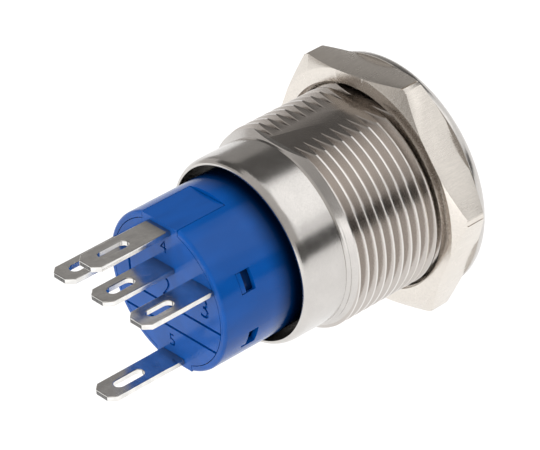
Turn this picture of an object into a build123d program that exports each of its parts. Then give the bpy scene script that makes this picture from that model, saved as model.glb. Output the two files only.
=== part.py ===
from build123d import *
import math
import os

# Illuminated push button switch for a panel hole. Millimetres.
# +Y runs along the switch from the button (front, -Y) to the terminals (rear, +Y), +Z is up.
# The origin is on the axis, in the face of the flange that bears on the panel.

# ---- terminals: five flat blades, three in a row and one above and below for the lamp
blade_w = 2.8
blade_t = 0.5
blade_len = 7.18
blade_corner = 0.62
slot_w = 1.1
slot_len = 2.7
slot_from_tip = 1.2
lamp_blade_len = 7.93
lamp_slot_len = 3.05
lamp_slot_from_tip = 1.45
row_pitch = 5.0
row_z = 2.7
stem_inner = 0.9
stem_outer = 0.6
lamp_stem_w = 1.0
lamp_inset = 0.42

# ---- blue contact block: sleeve and terminal base
stem_wall = 0.07
base_step = 0.47
sleeve_wall = 0.57
base_len = 6.47
sleeve_front_t = 1.0
end_round = 0.4
tongue_w = 4.5
tongue_len = 5.22
tongue_flat = 0.21
joint_gap = 0.05
window_above = 21.0
window_below = 24.3
window_w = 1.9
window_len = 1.5
window_from_rear = 2.27
groove_w = 0.25
groove_depth = 0.3
groove_z = (-1.28, -3.5)
bead_h = 0.34
bead_w = 1.0
bead_from_front = 3.6
lead_groove_side = 0.1
collar_h = 0.7
collar_wall = 1.95
guide_slot_w = 1.0
guide_slot_depth = 0.4

# ---- metal housing
fit_gap = 0.06
mouth_gap = 0.74
mouth_wall = 0.54
mouth_depth = 2.8
mouth_round = 0.42
mouth_round_len = 1.0
lead_in_drop = 0.78
lead_in_len = 0.5
thread_len = 12.5
thread_pitch = 1.0
thread_depth = 0.61
plain_len = 4.8
flange_overhang = 1.8
flange_t = 1.35
flange_round = 1.1
edge_steps = 3
flange_face_tilt = 0.15
opening_chamfer = 0.3
lip_t = 1.95
lip_w = 0.7
key_flat_depth = 0.7
key_flat_angle = 93.0
seal_groove_w = 0.7
seal_groove_depth = 0.6
seal_sides = 6

# ---- hexagon nut
nut_t = 3.25
nut_wall = 1.5
nut_angle = 55.5
nut_chamfer_angle = 27.0
nut_face_proud = 0.15
nut_bore_chamfer = 0.25
nut_margin = 1.0
thread_gap = 0.05

# ---- button and light guide
travel = 2.5
cap_proud = 0.3
cap_t = 1.0
cap_edge = 0.2
ring_w = 1.15
run_gap = 0.05
web_t = 1.5
flange_band = 1.0
seal_band = 0.8
rear_band = 0.65
seal_squash = 0.02
skirt_wall = 1.5
boss_wall = 1.0
boss_len = 1.6
stop_gap = 0.05

# ---- lamp board
led_gap = 0.4
led_size = (1.6, 0.6, 0.8)
led_count = 4
led_ring_r = 5.6
led_first_angle = 45.0
board_t = 0.8
board_edge = 0.2
resistor_size = (1.6, 0.45, 0.8)
resistor_angle = 180.0

# ---- slider, rocker and contacts
stem_r = 2.1
pin_r = 1.6
pin_len = 0.9
neck_top = 0.85
carriage_w = 3.2
carriage_len = 3.0
carriage_low = 2.6
wing_t = 0.8
stem_clear = 0.4
end_clear = 0.3
rocker_half = 3.3
rocker_w = 2.4
rocker_t = 0.3
rocker_tilt = 4.5
pivot_drop = 0.45
saddle_t = 0.5
contact_offset = 2.6
contact_r = 0.6
contact_h = 0.2
rivet_r = 0.35
rivet_tail = 0.15
arm_half = 0.7
base_gap = 1.8
plunger_r = 0.7
plunger_tip_r = 0.5
plunger_len = 1.6
plunger_gap = 0.05
pocket_depth = 2.6
spring_wire = 0.45
spring_gap = 0.35
spring_turns = 5
plunger_wire = 0.18
plunger_turns = 5
coil_steps = 12
wire_sides = 6

# ---- radii, worked out from the terminals outwards
row_top = row_z + blade_t / 2
row_low = row_z - blade_t / 2
cavity_r = round(math.hypot(row_pitch + stem_outer, row_top) + stem_wall, 2)
base_r = cavity_r + base_step
sleeve_r = base_r + sleeve_wall
bore_r = sleeve_r + fit_gap
mouth_r = sleeve_r + mouth_gap
barrel_r = mouth_r + mouth_wall
thread_r = barrel_r + lead_in_drop
root_r = thread_r - thread_depth
flange_r = thread_r + flange_overhang
opening_r = bore_r - lip_w
guide_r = bore_r - fit_gap
ring_r = opening_r - run_gap
cap_r = ring_r - ring_w
lamp_z = base_r - lamp_inset
tongue_z = base_r + tongue_flat

# ---- places along the axis, worked out from the front
front_y = -flange_t
cap_y = front_y - cap_proud
pocket_y = cap_y + cap_t
web_y = pocket_y + web_t
lip_y = front_y + lip_t
guide_y = lip_y + stop_gap
guide_end_y = guide_y + flange_band + seal_band + rear_band
led_y = guide_end_y + travel + led_gap
board_y = led_y + led_size[1]
sleeve_y = board_y + board_t
collar_y = sleeve_y - collar_h
cavity_y = sleeve_y + sleeve_front_t
stem_end_y = cavity_y - stem_clear
rocker_y = stem_end_y + travel + end_clear
pivot_y = rocker_y + rocker_half
closed_y = pivot_y - contact_offset
open_y = pivot_y + contact_offset
plunger_y = pivot_y - travel / 2
base_y = rocker_y + 2 * rocker_half + base_gap
rear_y = base_y + base_len
thread_end_y = thread_len
barrel_y = thread_end_y + lead_in_len
mouth_y = barrel_y + plain_len

# ---- heights in the contact block
pivot_z = row_low - pivot_drop
rocker_top = pivot_z - contact_h
rocker_low = rocker_top - rocker_t
tilt_rise = (contact_offset + contact_r) * math.sin(math.radians(rocker_tilt))
fixed_face_z = pivot_z + tilt_rise + plunger_gap
stem_in_x = row_pitch - stem_inner
stem_out_x = row_pitch + stem_outer


def turned(*points):
    """A solid of revolution about the Y axis from (radius, y) points."""
    return revolve(make_face(Polyline(*points, close=True)), Axis.Y)


def arc_points(centre, across, along, start, end):
    """(radius, y) points of a rounded edge between two angles in degrees."""
    angles = [math.radians(start + (end - start) * n / edge_steps) for n in range(edge_steps + 1)]
    return [(centre[0] + across * math.cos(a), centre[1] + along * math.sin(a)) for a in angles]


def ring(outer, inner, y0, y1):
    """A plain ring about the Y axis."""
    return turned((inner, y0), (outer, y0), (outer, y1), (inner, y1))


def disc(radius, y0, y1):
    """A plain disc about the Y axis."""
    return turned((0, y0), (radius, y0), (radius, y1), (0, y1))


def block(x0, x1, y0, y1, z0, z1):
    """A box between two corners."""
    centre = Pos((x0 + x1) / 2, (y0 + y1) / 2, (z0 + z1) / 2)
    return centre * Box(x1 - x0, y1 - y0, z1 - z0)


def upright(radius, x, y, z0, z1):
    """A cylinder that stands along Z."""
    return Pos(x, y, (z0 + z1) / 2) * Cylinder(radius, z1 - z0)


def around(angle, piece):
    """Turns a piece about the Y axis, from +X towards +Z."""
    return Rot(0, -angle, 0) * piece


# ---- metal housing: flange, thread and barrel turned in one piece
def thread_points():
    """(radius, y) points of the thread as rings, counted back from its last crest."""
    count = int(thread_end_y / thread_pitch)
    points = []
    for n in range(count, -1, -1):
        crest_y = thread_end_y - n * thread_pitch
        points.append((root_r, crest_y - thread_pitch / 2))
        points.append((thread_r, crest_y))
    return points


def housing_shell():
    """The turned metal shell."""
    seal_in = thread_r + (flange_overhang - seal_groove_w) / 2
    seal_out = seal_in + seal_groove_w
    face_edge_y = front_y + flange_face_tilt
    flange_centre = (flange_r - flange_round, face_edge_y + flange_round)
    mouth_centre = (barrel_r - mouth_round, mouth_y - mouth_round_len)
    shell = turned(
        (opening_r, lip_y),
        (opening_r, front_y + opening_chamfer),
        (opening_r + opening_chamfer, front_y),
        *arc_points(flange_centre, flange_round, flange_round, -90, 0),
        (flange_r, 0),
        (seal_out, 0),
        (seal_out, -seal_groove_depth),
        (seal_in, -seal_groove_depth),
        (seal_in, 0),
        (thread_r, 0),
        *thread_points(),
        (barrel_r, barrel_y),
        *arc_points(mouth_centre, mouth_round, mouth_round_len, 0, 90),
        (mouth_r, mouth_y),
        (mouth_r, mouth_y - mouth_depth),
        (bore_r, mouth_y - mouth_depth),
        (bore_r, lip_y),
    )
    bead_y = sleeve_y + bead_from_front
    shell -= ring(sleeve_r + bead_h + joint_gap, bore_r - fit_gap, bead_y, bead_y + bead_w)
    flat_r = thread_r - key_flat_depth
    flat = block(flat_r, flange_r, 0, barrel_y, -thread_r, thread_r)
    return shell - around(key_flat_angle, flat)


def panel_seal():
    """The seal ring in the flange's groove."""
    centre_r = thread_r + flange_overhang / 2
    section_r = min(seal_groove_w, seal_groove_depth) / 2 - joint_gap / 2
    section = Pos(centre_r, -seal_groove_depth / 2) * RegularPolygon(section_r, seal_sides)
    return revolve(section, Axis.Y)


def hex_nut():
    """The nut: a hexagon with both faces turned off at the corners."""
    flats_r = thread_r + nut_wall
    bore = thread_r + thread_gap
    blank = Plane.XZ * RegularPolygon(flats_r, 6, major_radius=False)
    hexagon = around(nut_angle, extrude(blank, -nut_t))
    corner_r = flats_r / math.cos(math.pi / 6)
    start_r = flats_r + nut_face_proud
    reach_r = corner_r + nut_margin
    drop = (reach_r - start_r) * math.tan(math.radians(nut_chamfer_angle))
    turned_blank = turned(
        (bore + nut_bore_chamfer, 0),
        (start_r, 0),
        (reach_r, drop),
        (reach_r, nut_t - drop),
        (start_r, nut_t),
        (bore + nut_bore_chamfer, nut_t),
        (bore, nut_t - nut_bore_chamfer),
        (bore, nut_bore_chamfer),
    )
    return hexagon & turned_blank


# ---- button
def button_cap():
    """The metal cap set into the light guide."""
    return turned(
        (0, cap_y),
        (cap_r - cap_edge, cap_y),
        (cap_r, cap_y + cap_edge),
        (cap_r, pocket_y),
        (0, pocket_y),
    )


def light_guide():
    """The clear plunger: its front rim is the lit ring round the cap."""
    seal_y = guide_y + flange_band
    inner_r = guide_r - skirt_wall
    boss_r = pin_r + boss_wall
    return turned(
        (cap_r, cap_y + cap_edge),
        (ring_r - cap_edge, cap_y + cap_edge),
        (ring_r, cap_y + 2 * cap_edge),
        (ring_r, guide_y),
        (guide_r, guide_y),
        (guide_r, seal_y),
        (guide_r - seal_band, seal_y),
        (guide_r - seal_band, seal_y + seal_band),
        (guide_r, seal_y + seal_band),
        (guide_r, guide_end_y),
        (inner_r, guide_end_y),
        (inner_r, web_y),
        (boss_r, web_y),
        (boss_r, web_y + boss_len),
        (pin_r, web_y + boss_len),
        (pin_r, web_y + boss_len - pin_len),
        (0, web_y + boss_len - pin_len),
        (0, pocket_y),
        (cap_r, pocket_y),
    )


def actuator_seal():
    """The lip seal that runs with the light guide in the bore."""
    seal_y = guide_y + flange_band + joint_gap
    inner = guide_r - seal_band
    end = seal_y + seal_band - 2 * joint_gap
    lip_r = bore_r - seal_squash
    return turned(
        (inner, seal_y),
        (guide_r - joint_gap, seal_y),
        (lip_r, (seal_y + end) / 2),
        (guide_r - joint_gap, end),
        (inner, end),
    )


def coil(radius, wire, turns, start, end):
    """A round-wire coil between two seats, wound about +Z from short straight lengths."""
    count = turns * coil_steps
    first = start + wire / 2
    rise = (end - start - wire) / count
    corners = []
    for n in range(count + 1):
        angle = 2 * math.pi * n / coil_steps
        corners.append((radius * math.cos(angle), radius * math.sin(angle), first + n * rise))
    path = Polyline(*corners)
    section = Plane(origin=path @ 0, z_dir=path % 0) * RegularPolygon(wire / 2, wire_sides)
    return sweep(section, path, transition=Transition.RIGHT)


def return_spring():
    """The spring that pushes the button out."""
    radius = pin_r + boss_wall + spring_gap + spring_wire / 2
    wound = coil(radius, spring_wire, spring_turns, web_y, collar_y)
    return Rot(-90, 0, 0) * wound


# ---- lamp board
def led_board():
    """The ring-shaped lamp board on the sleeve's front."""
    collar_r = stem_r + run_gap + collar_wall
    return ring(bore_r - board_edge, collar_r + run_gap, board_y, sleeve_y)


def on_board(size, angle):
    """A chip that sits on the board's front, at an angle round it."""
    length, height, width = size
    inner = led_ring_r - width / 2
    chip = block(inner, inner + width, board_y - height, board_y, -length / 2, length / 2)
    return around(angle, chip)


def leds():
    """The lamp's chips, spaced evenly round the board."""
    step = 360 / led_count
    return Compound([on_board(led_size, led_first_angle + n * step) for n in range(led_count)])


def series_resistor():
    """The chip resistor between two of the lamp's chips."""
    return on_board(resistor_size, resistor_angle)


# ---- contact block
def both_lamp_sides(piece):
    """A piece and its copy turned half round, for the two lamp terminals."""
    return [piece, around(180, piece)]


def window_turns():
    """The angles of the four windows, two above and two below the sides."""
    return [window_above, 180 - window_above, 180 + window_below, -window_below]


def contact_sleeve():
    """The blue sleeve that holds the mechanism and the terminal base."""
    collar_r = stem_r + run_gap + collar_wall
    stem_bore = stem_r + run_gap
    bead_y = sleeve_y + bead_from_front
    sleeve = turned(
        (stem_bore, collar_y),
        (collar_r, collar_y),
        (collar_r, sleeve_y),
        (sleeve_r, sleeve_y),
        (sleeve_r, bead_y),
        (sleeve_r + bead_h, bead_y),
        (sleeve_r + bead_h, bead_y + bead_w / 2),
        (sleeve_r, bead_y + bead_w),
        (sleeve_r, rear_y - end_round),
        (sleeve_r - end_round, rear_y),
        (base_r, rear_y),
        (base_r, base_y),
        (cavity_r, base_y),
        (cavity_r, cavity_y),
        (stem_bore, cavity_y),
    )
    half = tongue_w / 2 + joint_gap
    notch_y = rear_y - tongue_len - joint_gap
    notch = block(-half, half, notch_y, rear_y + end_round, cavity_r / 2, flange_r)
    lead_half = lamp_stem_w / 2 + lead_groove_side
    lead_top = lamp_z + blade_t / 2 + lead_groove_side
    lead_low = lamp_z - blade_t / 2 - lead_groove_side
    lead = block(-lead_half, lead_half, sleeve_y - 1, rear_y, lead_low, lead_top)
    for cut in both_lamp_sides(notch) + both_lamp_sides(lead):
        sleeve -= cut
    window_end = rear_y - window_from_rear
    window = block(
        cavity_r / 2, flange_r, window_end - window_len, window_end, -window_w / 2, window_w / 2
    )
    for turn in window_turns():
        sleeve -= around(turn, window)
    slot_end = cavity_r + guide_slot_depth
    slot = block(-slot_end, slot_end, cavity_y, base_y, -guide_slot_w / 2, guide_slot_w / 2)
    return sleeve - slot


def strip(x0, x1, y0, z):
    """A straight strip of blade thickness that ends at the rear face."""
    return block(x0, x1, y0, rear_y, z - blade_t / 2, z + blade_t / 2)


def stems():
    """The terminals' straight stems through the base, as cutters."""
    side = strip(stem_in_x, stem_out_x, base_y, row_z)
    middle = strip(-stem_inner, stem_inner, base_y, row_z)
    lamp = strip(-lamp_stem_w / 2, lamp_stem_w / 2, base_y, lamp_z)
    return [side, mirror(side, Plane.YZ), middle] + both_lamp_sides(lamp)


def terminal_base():
    """The blue plug that holds the blades and snaps into the sleeve."""
    base = disc(base_r - joint_gap / 2, base_y, rear_y)
    tongue = block(
        -tongue_w / 2, tongue_w / 2, rear_y - tongue_len, rear_y, cavity_r / 2, tongue_z
    )
    for part in both_lamp_sides(tongue):
        base += part
    tab_w = window_w - 2 * joint_gap
    tab_end = rear_y - window_from_rear - joint_gap
    tab_start = tab_end - window_len + 2 * joint_gap
    tab = turned((0, tab_start), (base_r, tab_start), (sleeve_r - joint_gap, tab_end), (0, tab_end))
    keep = block(cavity_r / 2, flange_r, base_y, rear_y, -tab_w / 2, tab_w / 2)
    for turn in window_turns():
        base += tab & around(turn, keep)
    for height in groove_z:
        low = height - groove_w / 2
        base -= block(-base_r, base_r, rear_y - groove_depth, rear_y, low, low + groove_w)
    for stem in stems():
        base -= stem
    return base


def blade(x, z, reach, eye_len, eye_from_tip):
    """The flat blade outside the base, with cut corners and a long eye."""
    half = blade_w / 2
    tip_y = rear_y + reach
    outline = Polyline(
        (-half, rear_y),
        (half, rear_y),
        (half, tip_y - blade_corner),
        (half - blade_corner, tip_y),
        (blade_corner - half, tip_y),
        (-half, tip_y - blade_corner),
        close=True,
    )
    eye = Pos(0, tip_y - eye_from_tip - eye_len / 2) * Rot(0, 0, 90) * SlotOverall(eye_len, slot_w)
    flat = extrude(make_face(outline) - eye, blade_t)
    return Pos(x, 0, z - blade_t / 2) * flat


def row_blade(x):
    """A blade of the row of three contact terminals."""
    return blade(x, row_z, blade_len, slot_len, slot_from_tip)


def arm(x0, x1, y):
    """A flat arm of the row's strips, reaching across the block."""
    return block(x0, x1, y - arm_half, y + arm_half, row_low, row_top)


def rivet_hole(y):
    """The hole for a fixed contact in a strip."""
    return upright(rivet_r, 0, y, row_low - 1, row_top + 1)


def terminal_common():
    """The common terminal: its arm carries the rocker's saddle."""
    stem = strip(stem_in_x, stem_out_x, pivot_y - arm_half, row_z)
    across = arm(-rocker_w / 2, stem_out_x, pivot_y)
    saddle = block(
        -rocker_w / 2, rocker_w / 2, pivot_y - saddle_t / 2, pivot_y + saddle_t / 2, pivot_z, row_low
    )
    nose = Pos(0, pivot_y, pivot_z) * Rot(0, 90, 0) * Cylinder(saddle_t / 2, rocker_w)
    return row_blade(row_pitch) + stem + across + saddle + nose


def terminal_normally_closed():
    """The normally closed terminal: its arm crosses at the rocker's front."""
    stem = strip(-stem_out_x, -stem_in_x, closed_y - arm_half, row_z)
    across = arm(-stem_out_x, arm_half, closed_y)
    return row_blade(-row_pitch) + stem + across - rivet_hole(closed_y)


def terminal_normally_open():
    """The normally open terminal: it ends over the rocker's rear."""
    stem = strip(-stem_inner, stem_inner, open_y - arm_half, row_z)
    return row_blade(0) + stem - rivet_hole(open_y)


def lamp_terminal():
    """The upper lamp terminal: a blade with a lead to the lamp board."""
    lead = strip(-lamp_stem_w / 2, lamp_stem_w / 2, sleeve_y, lamp_z)
    return blade(0, lamp_z, lamp_blade_len, lamp_slot_len, lamp_slot_from_tip) + lead


def fixed_contact(y):
    """A fixed contact rivet: face below the strip, tail above."""
    face = upright(contact_r, 0, y, fixed_face_z, row_low)
    shank = upright(rivet_r, 0, y, row_low, row_top)
    tail = upright(contact_r, 0, y, row_top, row_top + rivet_tail)
    return face + shank + tail


# ---- moving contact, modelled level and then tipped to its rest position
def tipped(piece):
    """Tips a piece about the saddle so that the front contact is closed."""
    pivot = Pos(0, pivot_y, pivot_z)
    return pivot * Rot(-rocker_tilt, 0, 0) * Pos(0, -pivot_y, -pivot_z) * piece


def contact_rocker():
    """The rocking contact strip, with a groove that seats on the saddle."""
    half = rocker_w / 2
    strip = block(-half, half, rocker_y, rocker_y + 2 * rocker_half, rocker_low, rocker_top)
    groove_r = saddle_t / 2 + run_gap
    strip -= Pos(0, pivot_y, pivot_z) * Rot(0, 90, 0) * Cylinder(groove_r, rocker_w + 1)
    for y in (closed_y, open_y):
        strip -= upright(rivet_r, 0, y, rocker_low - 1, rocker_top + 1)
    return tipped(strip)


def moving_contacts():
    """The two rivets of the rocking strip."""
    rivets = []
    for y in (closed_y, open_y):
        head = upright(contact_r, 0, y, rocker_top, pivot_z)
        shank = upright(rivet_r, 0, y, rocker_low, rocker_top)
        tail = upright(contact_r - rivet_tail, 0, y, rocker_low - rivet_tail, rocker_low)
        rivets.append(tipped(head + shank + tail))
    return Compound(rivets)


plunger_top = rocker_low - plunger_gap
plunger_base = plunger_top - plunger_len
pocket_floor = neck_top - pocket_depth


def contact_slider():
    """The slider that is clipped into the light guide and carries the plunger."""
    pin = disc(pin_r, web_y + boss_len - pin_len, web_y + boss_len)
    stem = disc(stem_r, web_y + boss_len, plunger_y)
    half = carriage_w / 2
    carriage_y = plunger_y - carriage_len / 2
    above = block(-stem_r, stem_r, stem_end_y, plunger_y, neck_top, 2 * stem_r)
    carriage = block(-half, half, carriage_y, carriage_y + carriage_len, -carriage_low, neck_top)
    wing_r = cavity_r + guide_slot_depth - 2 * run_gap
    wings = disc(wing_r, carriage_y, carriage_y + carriage_len)
    wings &= block(-wing_r, wing_r, carriage_y, carriage_y + carriage_len, -wing_t / 2, wing_t / 2)
    pocket = upright(plunger_r + run_gap, 0, plunger_y, pocket_floor, neck_top + 1)
    return pin + stem - above + carriage + wings - pocket


def contact_plunger():
    """The sprung plunger that tips the rocker as the slider passes."""
    body = upright(plunger_r, 0, plunger_y, plunger_base, neck_top - run_gap)
    nose = upright(plunger_tip_r, 0, plunger_y, plunger_base, plunger_top - plunger_tip_r)
    dome = Pos(0, plunger_y, plunger_top - plunger_tip_r) * Sphere(plunger_tip_r)
    return body + nose + dome


def plunger_spring():
    """The spring under the plunger."""
    wound = coil(plunger_tip_r, plunger_wire, plunger_turns, pocket_floor, plunger_base)
    return Pos(0, plunger_y, 0) * wound


nodes = {
    "housing_shell": housing_shell(),
    "panel_seal": panel_seal(),
    "hex_nut": hex_nut(),
    "button_cap": button_cap(),
    "light_guide": light_guide(),
    "actuator_seal": actuator_seal(),
    "return_spring": return_spring(),
    "led_board": led_board(),
    "leds": leds(),
    "series_resistor": series_resistor(),
    "contact_sleeve": contact_sleeve(),
    "terminal_base": terminal_base(),
    "terminal_common": terminal_common(),
    "terminal_normally_closed": terminal_normally_closed(),
    "terminal_normally_open": terminal_normally_open(),
    "lamp_terminal_plus": lamp_terminal(),
    "lamp_terminal_minus": around(180, lamp_terminal()),
    "normally_closed_contact": fixed_contact(closed_y),
    "normally_open_contact": fixed_contact(open_y),
    "contact_rocker": contact_rocker(),
    "moving_contacts": moving_contacts(),
    "contact_slider": contact_slider(),
    "contact_plunger": contact_plunger(),
    "plunger_spring": plunger_spring(),
}

os.makedirs("parts", exist_ok=True)
for name, solid in nodes.items():
    export_step(solid, f"parts/{name}.step")
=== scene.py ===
import math

import bmesh
import bpy
from bpy.props import FloatProperty, FloatVectorProperty, PointerProperty
from bpy.types import Operator, Panel, PropertyGroup
from mathutils import Matrix, Quaternion, Vector


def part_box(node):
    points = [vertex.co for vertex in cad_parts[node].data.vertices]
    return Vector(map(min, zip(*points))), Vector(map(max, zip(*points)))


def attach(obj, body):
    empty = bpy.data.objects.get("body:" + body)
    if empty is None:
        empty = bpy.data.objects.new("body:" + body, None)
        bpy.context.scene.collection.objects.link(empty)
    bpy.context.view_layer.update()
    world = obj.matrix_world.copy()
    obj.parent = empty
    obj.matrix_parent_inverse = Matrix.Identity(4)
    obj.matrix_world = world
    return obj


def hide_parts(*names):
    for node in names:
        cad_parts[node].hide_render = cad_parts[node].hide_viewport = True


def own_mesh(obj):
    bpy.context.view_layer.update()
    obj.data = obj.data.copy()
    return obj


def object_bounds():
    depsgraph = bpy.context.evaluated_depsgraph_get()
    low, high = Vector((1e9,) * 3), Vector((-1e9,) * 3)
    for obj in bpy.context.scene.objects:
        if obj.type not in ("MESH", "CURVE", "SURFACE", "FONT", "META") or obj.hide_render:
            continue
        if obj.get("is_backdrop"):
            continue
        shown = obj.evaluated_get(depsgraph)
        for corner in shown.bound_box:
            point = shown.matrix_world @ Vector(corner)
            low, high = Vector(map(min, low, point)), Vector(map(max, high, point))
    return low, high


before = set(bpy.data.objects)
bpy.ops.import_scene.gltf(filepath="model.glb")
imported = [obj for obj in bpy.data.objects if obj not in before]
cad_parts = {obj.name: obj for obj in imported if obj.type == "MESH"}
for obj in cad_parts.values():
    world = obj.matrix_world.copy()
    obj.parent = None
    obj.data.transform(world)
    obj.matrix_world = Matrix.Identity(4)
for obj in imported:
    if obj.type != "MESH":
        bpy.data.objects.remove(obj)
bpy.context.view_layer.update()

bl_info = {
    "name": "Illuminated Push Button Switch",
    "version": (1, 0, 0),
    "blender": (4, 5, 0),
    "location": "View3D > Sidebar > Switch",
    "description": "Builds a panel-mounted push button switch with a lit ring, piece by piece",
    "category": "Object",
}

# +Y runs along the switch from the button (front) to the terminals (rear), and +Z is up.
MM = 0.001
AXIS = Vector((0, 1, 0))
CLOSE = 1e-7  # points nearer than this are one
HARD_ANGLE = math.radians(20)  # sharper edges are shaded as edges
MOULDED_ANGLE = math.radians(35)  # sharper edges of the blue pieces are rounded
PAST = 1 * MM  # how far a cutter reaches past what it cuts
ROUND_STEPS = 192
COIL_STEPS = 48
CARD_TONE = (1.0, 0.97, 0.94)
BLACK = [0.0, 0.0, 0.0, 1.0]

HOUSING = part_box("housing_shell")
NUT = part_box("hex_nut")
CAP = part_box("button_cap")
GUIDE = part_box("light_guide")
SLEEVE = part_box("contact_sleeve")
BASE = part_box("terminal_base")
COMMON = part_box("terminal_common")
LAMP_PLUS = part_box("lamp_terminal_plus")
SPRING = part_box("return_spring")
PLUNGER_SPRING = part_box("plunger_spring")
REAR_Y = BASE[1].y


# ---- properties
def length(name, description, millimetres):
    """A size property, its default given in millimetres."""
    return FloatProperty(
        name=name, description=description, default=millimetres * MM, unit="LENGTH", precision=6
    )


def colour(name, description, default):
    """A finish colour property."""
    return FloatVectorProperty(
        name=name, description=description, default=default, subtype="COLOR", size=3, min=0, max=1
    )


def share(name, description, default):
    """A plain number from 0 to 1."""
    return FloatProperty(
        name=name, description=description, default=default, min=0, max=1, subtype="FACTOR"
    )


def angle(name, description, degrees):
    """An angle property, its default given in degrees."""
    return FloatProperty(
        name=name, description=description, default=math.radians(degrees), subtype="ANGLE"
    )


class SwitchHousingSizes(PropertyGroup):
    """Sizes of the turned metal housing and its thread."""

    thread_radius: length("Thread radius", "Radius at the thread's crests", 9.5)
    root_radius: length("Root radius", "Radius at the thread's roots", 8.887)
    pitch: length("Pitch", "Distance from one thread to the next", 1.0)
    crest_flat: length("Crest flat", "Width of the flat on each crest", 0.125)
    root_flat: length("Root flat", "Width of the flat between two threads", 0.167)
    thread_end: length("Thread end", "Where the full thread ends, from the flange", 12.5)
    barrel_start: length("Barrel start", "Where the plain barrel begins", 13.0)
    neck_width: length("Neck width", "Width of the fine neck before the barrel", 0.3)
    neck_depth: length("Neck depth", "Depth of the fine neck before the barrel", 0.08)
    thread_start: length("Thread start", "Where the first crest lies at the side", 0.51)
    barrel_radius: length("Barrel radius", "Outer radius of the plain barrel", 8.72)
    mouth_radius: length("Mouth radius", "Inner radius of the rear mouth", 8.18)
    mouth_depth: length("Mouth depth", "Depth of the rear mouth's counterbore", 2.8)
    mouth_round: length("Mouth rounding", "How far the rear rim is rounded inwards", 0.42)
    mouth_round_length: length("Mouth rounding length", "Length of the rim's rounding", 1.0)
    bore_radius: length("Bore radius", "Radius of the long bore", 7.5)
    opening_radius: length("Opening radius", "Radius of the hole round the button", 6.8)
    lip_depth: length("Lip depth", "Depth of the lip that keeps the button in", 1.95)
    flange_round: length("Flange rounding", "Rounding of the flange's front edge", 1.1)
    face_tilt: length("Face tilt", "Slope of the flange's face from inner to outer edge", 0.15)
    edge_break: length("Edge break", "Small bevel on turned edges", 0.12)
    flat_radius: length("Flat", "Distance of the key flat from the axis", 8.8)
    flat_angle: angle("Flat angle", "Where the key flat lies, from +X towards +Z", 93.0)
    groove_inner: length("Groove inner", "Inner radius of the seal's groove", 10.05)
    groove_outer: length("Groove outer", "Outer radius of the seal's groove", 10.75)
    groove_depth: length("Groove depth", "Depth of the seal's groove", 0.6)
    bead_groove: length("Bead groove", "Radius of the groove that the sleeve snaps into", 7.83)


class SwitchNutSizes(PropertyGroup):
    """Sizes of the hexagon nut."""

    flats_radius: length("Half of flats", "Distance from the axis to each flat", 11.0)
    turn: angle("Turn", "Angle of a corner, from +X towards +Z", 55.5)
    chamfer: angle("Chamfer", "Slope of the turned-off corners", 27.0)
    face_proud: length("Face margin", "How far the flat face reaches past the flats", 0.15)
    bore_radius: length("Bore radius", "Radius of the nut's hole", 9.55)
    bore_chamfer: length("Bore chamfer", "Chamfer at both ends of the hole", 0.35)
    bore_groove: length("Bore groove", "Depth of the grooves in the hole", 0.4)
    corner_facet: length("Corner facet", "Distance each long edge is cut back", 0.29)
    facet_line: length("Facet line", "Width and depth of the lines beside the facets", 0.1)
    edge_round: length("Edge rounding", "Rounding of the nut's other edges", 0.05)


class SwitchButtonSizes(PropertyGroup):
    """Sizes of the button cap and of the lit ring."""

    cap_edge: length("Cap edge", "Bevel on the cap's edge", 0.2)
    skirt_wall: length("Skirt wall", "Wall of the light guide's skirt", 1.5)
    flange_band: length("Flange band", "Length of the guide's front flange", 1.0)
    seal_band: length("Seal band", "Length and depth of the guide's seal groove", 0.8)
    web: length("Web", "Thickness of the guide's web", 1.5)
    pin_radius: length("Pin radius", "Radius of the slider's pin", 1.6)
    pin_length: length("Pin length", "Length of the slider's pin", 0.9)
    boss_wall: length("Boss wall", "Wall of the guide's boss", 1.0)
    boss_length: length("Boss length", "Length of the guide's boss", 1.6)


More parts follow.
